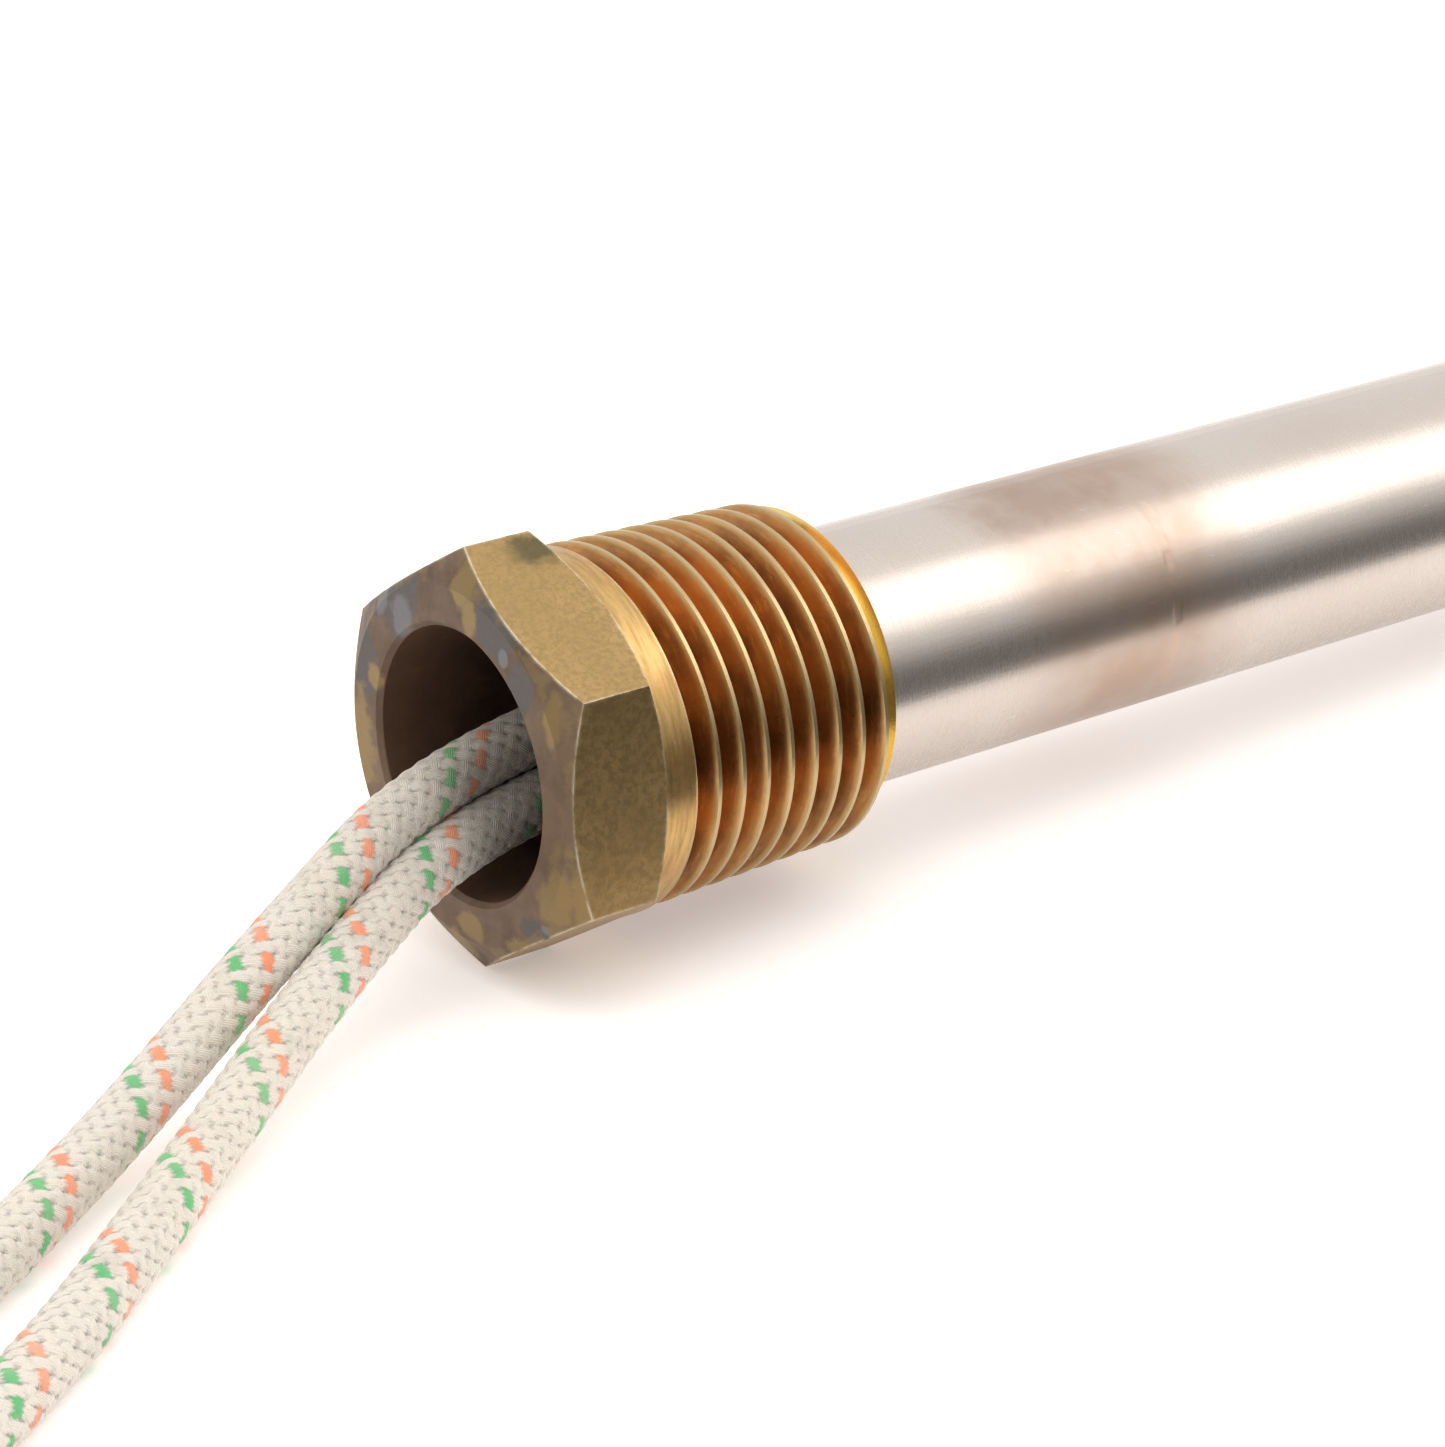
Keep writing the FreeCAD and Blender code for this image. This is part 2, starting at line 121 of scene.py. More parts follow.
# stains on the open face: (y, z, reach in y, reach in z) in millimetres
GOLD_PATCHES = (
    (-1.0, 8.6, 0.75, 1.0),
    (-1.55, 7.3, 0.55, 1.1),
    (8.0, -1.3, 1.1, 2.6),
    (6.4, 2.6, 0.5, 0.6),
    (-7.5, -3.6, 0.7, 1.5),
    (-6.9, -4.7, 0.9, 0.9),
    (-8.6, -5.2, 0.7, 2.6),
    (-5.3, -7.6, 1.6, 0.6),
    (-0.6, -7.6, 0.9, 0.6),
    (0.9, -9.0, 1.0, 0.7),
    (-7.4, 3.9, 0.5, 1.1),
)
GREY_PATCHES = (
    (-3.3, 7.4, 1.3, 1.3),
    (4.6, 6.9, 2.2, 1.6),
    (7.2, 3.0, 1.0, 1.8),
    (-5.6, -6.5, 0.9, 0.8),
    (-5.4, 5.0, 0.9, 1.2),
)
FLAT_STAINS = ((-0.9, 9.5, 1.7, 1.2),)
WHITE_PATCHES = (
    (3.9, 6.1, 0.9, 0.8),
    (-4.15, 6.1, 0.28, 0.36),
    (-6.2, -6.1, 0.2, 0.26),
    (5.6, 6.6, 0.5, 0.9),
)


def table_z(x):
    return HEX_LOW.z + TABLE_SLOPE * (x - HEX_CORNER_BACK_X)


# ---------------------------------------------------------------- settings


def colour(name, description, value):
    return FloatVectorProperty(
        name=name, description=description, subtype="COLOR", min=0, max=1, default=value)


class BrassSettings(bpy.types.PropertyGroup):
    flat: colour("Flats", "Dulled brass of the hexagon's flats", (0.42, 0.285, 0.122))
    neck: colour("Neck", "Clean brass of the turned neck", (0.60, 0.39, 0.155))
    groove: colour("Grooves", "Copper-tinted bottoms of the thread", (0.47, 0.215, 0.07))
    groove_dark: colour("Dark grooves", "Darkest tint in the thread", (0.23, 0.115, 0.052))
    crest: colour("Crests", "Worn tops of the thread", (0.54, 0.43, 0.25))
    # painted highlight: bright yellow colour for the chamfer at the end of the thread
    nose_highlight: colour("Nose", "Bright chamfer at the end of the thread", (0.82, 0.64, 0.24))
    scale: colour("Heat scale", "Brown scale on the open face", (0.105, 0.068, 0.042))
    # bore: the darkest colour, painted shade far inside the bore
    bore: colour("Bore", "Darkened inside of the bore", (0.055, 0.030, 0.018))
    gold: colour("Bare patches", "Bare brass showing through the scale", (0.25, 0.175, 0.078))
    grey: colour("Grey stain", "Grey flux stain on the open face", (0.098, 0.088, 0.084))


class SteelSettings(bpy.types.PropertyGroup):
    steel: colour("Steel", "Drawn stainless tube", (0.63, 0.575, 0.525))
    tint: colour("Heat tint", "Brown tint left by heat", (0.46, 0.345, 0.27))
    tint_x: FloatProperty(
        name="Tint place", description="Middle of the tinted length",
        default=28.5 * MM, unit="LENGTH", precision=4)
    tint_reach: FloatProperty(
        name="Tint reach", description="Half the length that is tinted",
        default=9.0 * MM, unit="LENGTH", precision=4)
    roughness: FloatProperty(name="Roughness", description="Blur of the reflections", default=0.27)


class LeadSettings(bpy.types.PropertyGroup):
    yarns: IntProperty(name="Yarns each way", description="Yarns wound in each direction", default=8)
    braid_pitch: FloatProperty(
        name="Braid pitch", description="Length in which a yarn goes once round",
        default=8.03 * MM, unit="LENGTH", precision=5)
    yarn_share: FloatProperty(
        name="Yarn share", description="Width of a yarn as a share of the space it has", default=0.76)
    relief: FloatProperty(
        name="Yarn relief", description="Height of a yarn over the gaps beside it",
        default=0.135 * MM, unit="LENGTH", precision=6)
    white: colour("Glass yarn", "Undyed yarn", (0.76, 0.71, 0.635))
    dirt: colour("Dirt", "Greyish handling dirt", (0.42, 0.38, 0.33))
    green: colour("Green tracer", "First marked yarn", (0.055, 0.47, 0.13))
    orange: colour("Orange tracer", "Second marked yarn", (0.90, 0.27, 0.11))


class FittingSettings(bpy.types.PropertyGroup):
    sleeve: colour("Sleeving", "Varnished glass sleeving", (0.66, 0.58, 0.44))
    ceramic: colour("Ceramic", "Fired white ceramic", (0.80, 0.77, 0.70))
    cement: colour("Cement", "Grey-brown filler", (0.36, 0.31, 0.25))
    tie: colour("Tie", "Natural nylon", (0.78, 0.76, 0.70))
    bright: colour("Bright metal", "Tinned and plated pieces", (0.74, 0.73, 0.71))
    wire: colour("Wire", "Drawn nickel wire", (0.55, 0.53, 0.50))


class StageSettings(bpy.types.PropertyGroup):
    camera_place: FloatVectorProperty(
        name="Camera place", description="Where the camera stands",
        subtype="TRANSLATION", unit="LENGTH", precision=5,
        default=(-100.93 * MM, -144.57 * MM, 64.54 * MM))
    camera_turn: FloatProperty(
        name="Camera turn", description="Turn about the upright from looking along +Y",
        subtype="ANGLE", default=math.radians(-36.957))
    camera_height: FloatProperty(
        name="Camera height", description="How far the camera looks down",
        subtype="ANGLE", default=math.radians(20.097))
    camera_roll: FloatProperty(
        name="Camera roll", description="Turn about the line of sight",
        subtype="ANGLE", default=math.radians(-1.723))
    lens: FloatProperty(name="Lens", description="Focal length in millimetres", default=102.06)
    table: colour("Table", "White table top", (0.93, 0.905, 0.89))
    # painted light: the table gives out light of its own, which lifts the shadows on it
    painted_glow: FloatProperty(name="Table glow", description="Light coming through the table", default=0.27)
    room: FloatProperty(name="Room light", description="Brightness of the white room", default=1.04)
    shade: FloatProperty(
        name="Dark side", description="Brightness of the room behind the camera, low down",
        default=0.16)


# ---------------------------------------------------------------- shader graphs


class Graph:
    """Adds shader nodes and joins them."""

    def __init__(self, tree):
        self.tree = tree

    def node(self, kind, *values, **settings):
        made = self.tree.nodes.new(kind)
        for key, value in settings.items():
            setattr(made, key, value)
        for socket, value in zip(made.inputs, values):
            self.feed(socket, value)
        return made

    def named(self, kind, values, **settings):
        made = self.node(kind, **settings)
        for name, value in values.items():
            self.feed(made.inputs[name], value)
        return made

    def feed(self, socket, value):
        if isinstance(value, bpy.types.NodeSocket):
            self.tree.links.new(value, socket)
        elif value is not None:
            socket.default_value = value

    def math(self, operation, *values):
        return self.node("ShaderNodeMath", *values, operation=operation).outputs[0]

    def between(self, low, high, value, to_low=0.0, to_high=1.0):
        return self.node(
            "ShaderNodeMapRange", value, low, high, to_low, to_high,
            interpolation_type="SMOOTHSTEP").outputs[0]

    def blend(self, share, first, second):
        made = self.node("ShaderNodeMix", data_type="RGBA")
        self.feed(made.inputs[0], share)
        self.feed(made.inputs[6], rgba(first))
        self.feed(made.inputs[7], rgba(second))
        return made.outputs[2]

    def noise(self, vector, scale, detail=3.0, roughness=0.55):
        values = {"Vector": vector, "Scale": scale, "Detail": detail, "Roughness": roughness}
        return self.named("ShaderNodeTexNoise", values).outputs[0]

    def stretched(self, vector, x, y, z):
        return self.node("ShaderNodeVectorMath", vector, (x, y, z), operation="MULTIPLY").outputs[0]

    def group(self, tree, **values):
        made = self.node("ShaderNodeGroup", node_tree=tree)
        for name, value in values.items():
            self.feed(made.inputs[name.replace("_", " ")], value)
        return made.outputs

    def bump(self, height, distance, strength=1.0):
        values = {"Height": height, "Distance": distance, "Strength": strength}
        return self.named("ShaderNodeBump", values).outputs[0]


def rgba(value):
    if isinstance(value, bpy.types.NodeSocket):
        return value
    return (*value[:3], 1.0)


def new_group(name, inputs, outputs):
    """An empty node group with float sockets, or vector ones where the default is a tuple."""
    tree = bpy.data.node_groups.new(name, "ShaderNodeTree")
    for label, default in inputs.items():
        kind = "NodeSocketVector" if isinstance(default, tuple) else "NodeSocketFloat"
        socket = tree.interface.new_socket(label, in_out="INPUT", socket_type=kind)
        socket.default_value = default
    for label in outputs:
        tree.interface.new_socket(label, in_out="OUTPUT", socket_type="NodeSocketFloat")
    graph = Graph(tree)
    return tree, graph, graph.node("NodeGroupInput").outputs, graph.node("NodeGroupOutput").inputs


def once(name, build):
    return bpy.data.node_groups.get(name) or build(name)


def axis_places(name="places about the axis"):
    """Millimetres along the probe and out from its axis, and turns about it."""
    tree, g, given, out = new_group(name, {"Position": (0.0, 0.0, 0.0)}, ("Along", "Radius", "Turn"))
    parts = g.node("ShaderNodeSeparateXYZ", g.stretched(given["Position"], 1000, 1000, 1000)).outputs
    squares = g.math("ADD", g.math("MULTIPLY", parts[1], parts[1]), g.math("MULTIPLY", parts[2], parts[2]))
    g.feed(out["Along"], parts[0])
    g.feed(out["Radius"], g.math("SQRT", squares))
    g.feed(out["Turn"], g.math("DIVIDE", g.math("ARCTAN2", parts[2], parts[1]), 2 * math.pi))
    return tree


def mottle(name="mottled stain"):
    """Blotches of a given size, covering a given share of the surface."""
    defaults = {"Position": (0.0, 0.0, 0.0), "Size": 1.0, "Cover": 0.5, "Edge": 0.1}
    tree, g, given, out = new_group(name, defaults, ("Mask",))
    scale = g.math("DIVIDE", 1000.0, given["Size"])
    cloud = g.noise(given["Position"], scale, 4.0, 0.6)
    limit = g.math("SUBTRACT", 1.0, given["Cover"])
    limit = g.math("ADD", g.math("MULTIPLY", limit, 0.5), 0.25)
    low = g.math("SUBTRACT", limit, given["Edge"])
    high = g.math("ADD", limit, given["Edge"])
    g.feed(out["Mask"], g.between(low, high, cloud))
    return tree


def edge_wear_and_highlight(name="edge wear and highlight"):
    """Brighter metal along sharp edges: partly rubbed wear, partly a painted highlight."""
    defaults = {"Position": (0.0, 0.0, 0.0), "Reach": 0.15, "Amount": 1.0}
    tree, g, given, out = new_group(name, defaults, ("Mask",))
    reach = g.math("MULTIPLY", given["Reach"], MM)
    rounded = g.named("ShaderNodeBevel", {"Radius": reach}, samples=4).outputs[0]
    true = g.node("ShaderNodeNewGeometry").outputs["Normal"]
    match = g.node("ShaderNodeVectorMath", rounded, true, operation="DOT_PRODUCT").outputs["Value"]
    edge = g.between(0.995, 0.90, match)
    broken = g.between(0.30, 0.62, g.noise(given["Position"], 900.0))
    g.feed(out["Mask"], g.math("MULTIPLY", g.math("MULTIPLY", edge, broken), given["Amount"]))
    return tree


def fine_lines(name="fine lines"):
    """Tool and drawing marks: streaks along one direction of a stretched position."""
    defaults = {"Position": (0.0, 0.0, 0.0), "Stretch": (1.0, 1.0, 1.0), "Size": 0.1}
    tree, g, given, out = new_group(name, defaults, ("Height",))
    where = g.node("ShaderNodeVectorMath", given["Position"], given["Stretch"], operation="MULTIPLY")
    scale = g.math("DIVIDE", 1000.0, given["Size"])
    g.feed(out["Height"], g.noise(where.outputs[0], scale, 4.0, 0.65))
    return tree


def new_material(name):
    material = bpy.data.materials.new(name)
    material.use_nodes = True
    shader = material.node_tree.nodes["Principled BSDF"]
    graph = Graph(material.node_tree)
    place = graph.node("ShaderNodeTexCoord").outputs["Object"]
    return material, graph, shader, place


def patch_mask(g, parts, patches, wobble):
    """Union of soft-edged stains, each with its own reach, on the plane of the open face."""
    total = None
    for y, z, reach_y, reach_z in patches:
        dy = g.math("DIVIDE", g.math("SUBTRACT", parts[1], y), reach_y)
        dz = g.math("DIVIDE", g.math("SUBTRACT", parts[2], z), reach_z)
        away = g.math("SQRT", g.math("ADD", g.math("MULTIPLY", dy, dy), g.math("MULTIPLY", dz, dz)))
        mask = g.between(1.3, 0.72, g.math("ADD", away, wobble))
        total = mask if total is None else g.math("MAXIMUM", total, mask)
    return total


def dress(material, *names):
    for name in names:
        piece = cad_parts[name]
        piece.data.materials.clear()
        piece.data.materials.append(material)


# ---------------------------------------------------------------- brass bushing


Where = namedtuple("Where", "place parts along radius facing")


def where_on_bushing(g, place):
    """The position and its parts in millimetres, how far along the axis and out from it, and
    how squarely the surface faces the tip."""
    along, radius = g.group(once("places about the axis", axis_places), Position=place)[:2]
    parts = g.node("ShaderNodeSeparateXYZ", g.stretched(place, 1000, 1000, 1000)).outputs
    normal = g.node("ShaderNodeNewGeometry").outputs["Normal"]
    facing = g.node("ShaderNodeSeparateXYZ", normal).outputs[0]
    return Where(place, parts, along, radius, facing)


def brass_flats(g, settings, where, grain):
    """Sandy brass with a fine even grain, slow drifts of tone and a dark stain at the back."""
    drift = g.group(once("mottled stain", mottle), Position=where.place, Size=3.2, Cover=0.45, Edge=0.22)[0]
    flat = g.blend(g.math("MULTIPLY", drift, 0.6), settings.flat, [c * 0.72 for c in settings.flat])
    flat = g.blend(g.between(0.38, 0.62, grain), [c * 0.74 for c in settings.flat], flat)
    ragged = g.math("MULTIPLY", g.noise(where.place, 900.0), 0.9)
    verdigris = patch_mask(g, where.parts, FLAT_STAINS, ragged)
    near_back = g.between(-5.0, -3.4, where.along)
    verdigris = g.math("MULTIPLY", g.math("MULTIPLY", verdigris, near_back), 0.75)
    return g.blend(verdigris, flat, (0.062, 0.066, 0.038))


def brass_neck(g, settings, where, streak):
    """Cleaner, yellower brass, streaked round, with warm clouds."""
    neck = g.blend(g.between(0.35, 0.7, streak), settings.neck, [c * 0.66 for c in settings.neck])
    warm = g.group(once("mottled stain", mottle), Position=where.place, Size=2.4, Cover=0.35, Edge=0.16)[0]
    return g.blend(g.math("MULTIPLY", warm, 0.45), neck, settings.groove)


def brass_thread(g, settings, where, base):
    """Tinted grooves, pale rubbed crests and a bright painted highlight at the thread's end, laid over the
    base.
    """
    crest_radius = g.math("SUBTRACT", THREAD_RADIUS / MM, g.math("MULTIPLY", where.along, THREAD_TAPER))
    depth = g.math("SUBTRACT", crest_radius, where.radius)
    tone = g.group(once("mottled stain", mottle), Position=where.place, Size=4.0, Cover=0.42, Edge=0.2)[0]
    groove = g.blend(tone, settings.groove, settings.groove_dark)
    lines = once("fine lines", fine_lines)
    scored = g.group(lines, Position=where.place, Stretch=(5.0, 0.5, 0.5), Size=0.8)[0]
    groove = g.blend(g.math("MULTIPLY", g.between(0.5, 0.75, scored), 0.5), groove, settings.neck)
    sunk = g.math("MULTIPLY", g.between(-0.9, -0.7, where.along), g.between(0.06, 0.26, depth))
    base = g.blend(sunk, base, groove)
    crest = g.math("MULTIPLY", g.between(0.35, 0.75, where.along), g.between(0.11, 0.02, depth))
    base = g.blend(g.math("MULTIPLY", crest, 0.7), base, settings.crest)
    # painted highlight: the chamfer at the end of the thread is coloured bright yellow, and made smoother
    # below
    nose_highlight = g.between(11.2, 11.5, where.along)
    base = g.blend(nose_highlight, base, settings.nose_highlight)
    end_face = g.between(12.2, 12.28, where.along)
    return g.blend(end_face, base, [c * 0.6 for c in settings.neck]), nose_highlight


def brass_open_face(g, settings, where):
    """Brown scale with bare, grey and white patches, where it lies, and where it is bare."""
    stain = once("mottled stain", mottle)
    wobble = g.math("SUBTRACT", g.math("MULTIPLY", g.noise(where.place, 620.0, 4.0, 0.65), 2.4), 1.2)
    cloud = g.group(stain, Position=where.place, Size=2.6, Cover=0.5, Edge=0.2)[0]
    scale = g.blend(cloud, settings.scale, [c * 1.75 for c in settings.scale])
    scale = g.blend(patch_mask(g, where.parts, GREY_PATCHES, wobble), scale, settings.grey)
    bare = patch_mask(g, where.parts, GOLD_PATCHES, wobble)
    scale = g.blend(bare, scale, settings.gold)
    white = patch_mask(g, where.parts, WHITE_PATCHES, wobble)
    scale = g.blend(g.math("MULTIPLY", white, 0.2), scale, (0.42, 0.44, 0.48))
    turned_in = g.between(-0.30, -0.42, where.facing)
    chamfer = g.math("MULTIPLY", turned_in, g.between(8.35, 8.5, where.radius))
    speckle = g.group(stain, Position=where.place, Size=1.6, Cover=0.46, Edge=0.08)[0]
    scale = g.blend(chamfer, scale, g.blend(g.math("MULTIPLY", speckle, 0.5), scale, settings.gold))
    flat_part = g.between(HEX_FACE_X / MM + 0.62, HEX_FACE_X / MM + 0.5, where.along)
    flat_part = g.math("MULTIPLY", flat_part, turned_in)
    chamfer_part = g.math("MULTIPLY", chamfer, g.between(-4.5, -5.0, where.along))
    return scale, g.math("MAXIMUM", flat_part, chamfer_part), bare


def brass_bore(g, settings, where):
    """Dark bore, with painted shade that makes it blacker further in."""
    deeper_shade = g.between(HEX_FACE_X / MM, HEX_FACE_X / MM + 7.0, where.along)
    # painted shade: darker the further into the bore
    bore = g.blend(deeper_shade, [c * 2.2 for c in settings.bore], settings.bore)
    cloud = g.group(once("mottled stain", mottle), Position=where.place, Size=2.0, Cover=0.4, Edge=0.2)[0]
    return g.blend(g.math("MULTIPLY", cloud, 0.5), bore, [c * 3.2 for c in settings.bore])


def brass_material(settings):
    material, g, shader, place = new_material("heat-stained brass")
    where = where_on_bushing(g, place)
    grain = g.noise(place, 3600.0, 3.0, 0.75)
    streak = g.group(once("fine lines", fine_lines), Position=place, Stretch=(6.0, 0.6, 0.6), Size=1.3)[0]

    rear_chamfer = g.math(
        "MULTIPLY", g.between(0.2, 0.35, where.facing), g.between(-3.4, -3.0, where.along))
    past_hexagon = g.between(HEX_BACK_X / MM - 0.05, HEX_BACK_X / MM + 0.05, where.along)
    behind = g.math("MAXIMUM", past_hexagon, rear_chamfer)
    base = g.blend(behind, brass_flats(g, settings, where, grain), brass_neck(g, settings, where, streak))
    base, nose_highlight = brass_thread(g, settings, where, base)
    scale, face, bare = brass_open_face(g, settings, where)
    base = g.blend(face, base, scale)
    inside = g.between(BORE_RADIUS / MM + 0.06, BORE_RADIUS / MM + 0.02, where.radius)
    base = g.blend(inside, base, brass_bore(g, settings, where))

    rubbed_and_lit = g.group(once("edge wear and highlight", edge_wear_and_highlight), Position=place, Reach=0.22, Amount=0.75)[0]
    on_hexagon = g.math(
        "MULTIPLY", g.between(-0.05, -0.3, where.along), g.between(8.5, 8.65, where.radius))
    # partly wear, partly painted highlight: the hexagon's edges are painted pale gold
    base = g.blend(g.math("MULTIPLY", rubbed_and_lit, on_hexagon), base, (0.92, 0.84, 0.62))
    g.feed(shader.inputs["Base Color"], base)

    dull = g.math("MAXIMUM", face, inside)
    bare_share = g.math("MULTIPLY", bare, face)
    dull = g.math("MULTIPLY", dull, g.math("SUBTRACT", 1.0, g.math("MULTIPLY", bare_share, 0.6)))
    g.feed(shader.inputs["Metallic"], g.math("SUBTRACT", 1.0, g.math("MULTIPLY", dull, 0.62)))
    rough = g.between(0.0, 1.0, behind, 0.43, 0.31)
    rough = g.math("ADD", rough, g.math("MULTIPLY", dull, 0.15))
    rough = g.math("SUBTRACT", rough, g.math("MULTIPLY", nose_highlight, 0.10))
    rough = g.math("ADD", rough, g.math("MULTIPLY", g.math("SUBTRACT", grain, 0.5), 0.22))
    g.feed(shader.inputs["Roughness"], rough)
    height = g.math("ADD", g.math("MULTIPLY", grain, 0.55), g.math("MULTIPLY", streak, 0.45))
    crust = g.math("MULTIPLY", g.noise(place, 1500.0, 5.0, 0.7), g.math("MULTIPLY", dull, 1.4))
    g.feed(shader.inputs["Normal"], g.bump(g.math("ADD", height, crust), 0.012 * MM, 0.8))
    return material


def braze_material(settings):
    material, g, shader, place = new_material("braze fillet")
    lumps = g.noise(place, 1400.0, 4.0, 0.6)
    base = g.blend(g.between(0.4, 0.62, lumps), (0.10, 0.06, 0.035), [c * 0.8 for c in settings.neck])
    g.feed(shader.inputs["Base Color"], base)
    shader.inputs["Metallic"].default_value = 1.0
    shader.inputs["Roughness"].default_value = 0.38
    g.feed(shader.inputs["Normal"], g.bump(lumps, 0.06 * MM))
    return material


class PROBE_OT_bushing(bpy.types.Operator):
    """Give the brass bushing and its brazed rings their stained finish"""

    bl_idname = "probe.bushing"
    bl_label = "Brass Bushing"

    def execute(self, context):
        settings = context.scene.probe_brass
        dress(brass_material(settings), "bushing")
        dress(braze_material(settings), "nose_braze", "inner_braze")
        return {"FINISHED"}


# ---------------------------------------------------------------- steel sheath


def steel_material(settings):
    material, g, shader, place = new_material("drawn stainless steel")
    along = g.group(once("places about the axis", axis_places), Position=place)["Along"]
    lines = once("fine lines", fine_lines)
    stain = once("mottled stain", mottle)
    drawn = g.group(lines, Position=place, Stretch=(0.12, 1.0, 1.0), Size=0.22)[0]
    polished = g.group(lines, Position=place, Stretch=(4.0, 0.35, 0.35), Size=0.55)[0]
    cloud = g.group(stain, Position=place, Size=7.0, Cover=0.5, Edge=0.24)[0]
    middle, reach = settings.tint_x / MM, settings.tint_reach / MM
    tinted = g.math("MULTIPLY", g.between(middle - reach, middle - reach * 0.3, along),
                    g.between(middle + reach, middle + reach * 0.35, along))
    tinted = g.math("MULTIPLY", tinted, g.between(0.0, 1.0, cloud, 0.55, 1.0))
    base = g.blend(tinted, settings.steel, settings.tint)
    parts = g.node("ShaderNodeSeparateXYZ", g.stretched(place, 1000, 1000, 1000)).outputs
    ragged = g.math("MULTIPLY", g.math("SUBTRACT", g.noise(place, 480.0, 3.0, 0.6), 0.5), 2.4)
    offset = g.math("DIVIDE", g.math("SUBTRACT", along, 25.6), 4.4)
    across = g.math("DIVIDE", g.math("SUBTRACT", parts[1], -1.4), 2.3)
    squares = g.math("ADD", g.math("MULTIPLY", offset, offset), g.math("MULTIPLY", across, across))
    burnt = g.between(1.5, 0.2, g.math("ADD", g.math("SQRT", squares), ragged))
    burnt = g.math("MULTIPLY", burnt, g.between(0.0, 3.0, parts[2]))
    base = g.blend(g.math("MULTIPLY", burnt, 0.42), base, (0.33, 0.22, 0.17))
    base = g.blend(g.math("MULTIPLY", cloud, 0.12), base, [c * 0.85 for c in settings.tint])
    mark_x = g.math("ADD", 31.1, g.math("MULTIPLY", ragged, 0.25))
    mark = g.between(0.42, 0.12, g.math("ABSOLUTE", g.math("SUBTRACT", along, mark_x)))
    mark = g.math("MULTIPLY", mark, g.between(0.45, 0.62, g.noise(g.stretched(place, 0.5, 1, 1), 260.0)))
    base = g.blend(g.math("MULTIPLY", mark, 0.25), base, (0.60, 0.38, 0.27))
    nicks = g.between(0.66, 0.74, g.group(lines, Position=place, Stretch=(0.55, 2.2, 2.2), Size=0.5)[0])
    base = g.blend(g.math("MULTIPLY", nicks, 0.25), base, (0.92, 0.90, 0.87))
    g.feed(shader.inputs["Base Color"], base)
    shader.inputs["Metallic"].default_value = 1.0
    rough = g.math("ADD", settings.roughness, g.math("MULTIPLY", g.math("SUBTRACT", polished, 0.5), 0.10))
    rough = g.math("ADD", rough, g.math("MULTIPLY", tinted, 0.05))
    g.feed(shader.inputs["Roughness"], rough)
    height = g.math("ADD", g.math("MULTIPLY", polished, 0.5), g.math("MULTIPLY", drawn, 0.3))
    height = g.math("SUBTRACT", height, g.math("MULTIPLY", mark, 1.6))
    g.feed(shader.inputs["Normal"], g.bump(height, 0.016 * MM, 0.8))
    return material


def weld_material(settings):
    material, g, shader, place = new_material("weld bead")
    turn = g.group(once("places about the axis", axis_places), Position=place)["Turn"]
    ripple = g.math("ABSOLUTE", g.math("SINE", g.math("MULTIPLY", turn, 2 * math.pi * 30)))
    cloud = g.noise(place, 700.0)
    base = g.blend(g.between(0.35, 0.65, cloud), settings.tint, (0.30, 0.27, 0.29))
    g.feed(shader.inputs["Base Color"], base)
    shader.inputs["Metallic"].default_value = 1.0
    shader.inputs["Roughness"].default_value = 0.40
    g.feed(shader.inputs["Normal"], g.bump(ripple, 0.03 * MM))
    return material


class PROBE_OT_sheath(bpy.types.Operator):
    """Give the steel sheath, its cap and its weld their finish"""

    bl_idname = "probe.sheath"
    bl_label = "Steel Sheath"

    def execute(self, context):
        settings = context.scene.probe_steel
        dress(steel_material(settings), "sheath_tube", "tip_cap")
        dress(weld_material(settings), "tip_weld")
        return {"FINISHED"}


# ---------------------------------------------------------------- fittings and inside


def speckled_material(
        name, tone, size, metallic, roughness, relief, stretch=(1.0, 1.0, 1.0), contrast=0.25):
    """A mottled, finely marked surface."""
    material, g, shader, place = new_material(name)
    marks = g.group(once("fine lines", fine_lines), Position=place, Stretch=stretch, Size=size)[0]
    cloud = g.group(once("mottled stain", mottle), Position=place, Size=size * 6, Cover=0.45, Edge=0.2)[0]
    base = g.blend(g.math("MULTIPLY", cloud, contrast * 2), tone, [c * 0.7 for c in tone])
    base = g.blend(g.math("MULTIPLY", g.between(0.45, 0.7, marks), contrast), base, [c * 0.55 for c in tone])
    rubbed_and_lit = g.group(once("edge wear and highlight", edge_wear_and_highlight), Position=place, Reach=0.12, Amount=contrast * 2)[0]
    # brighter edges: partly wear, partly a painted highlight
    base = g.blend(rubbed_and_lit, base, [min(1.0, c * 1.25) for c in tone])
    g.feed(shader.inputs["Base Color"], base)
    shader.inputs["Metallic"].default_value = metallic
    g.feed(shader.inputs["Roughness"], g.math("ADD", roughness, g.math("MULTIPLY", marks, 0.15)))
    g.feed(shader.inputs["Normal"], g.bump(marks, relief))
    return material


def woven_material(name, tone, dark):
    """Varnished sleeving woven from fine yarn."""
    material, g, shader, place = new_material(name)
    cells = g.named("ShaderNodeTexVoronoi", {"Vector": g.stretched(place, 1.0, 1.6, 1.6), "Scale": 2600.0})
    away = cells.outputs["Distance"]
    base = g.blend(g.between(0.25, 0.75, away), tone, dark)
    cloud = g.group(once("mottled stain", mottle), Position=place, Size=2.5, Cover=0.4, Edge=0.2)[0]
    base = g.blend(g.math("MULTIPLY", cloud, 0.3), base, dark)
    g.feed(shader.inputs["Base Color"], base)
    shader.inputs["Roughness"].default_value = 0.55
    g.feed(shader.inputs["Normal"], g.bump(g.math("SUBTRACT", 1.0, away), 0.05 * MM))
    return material


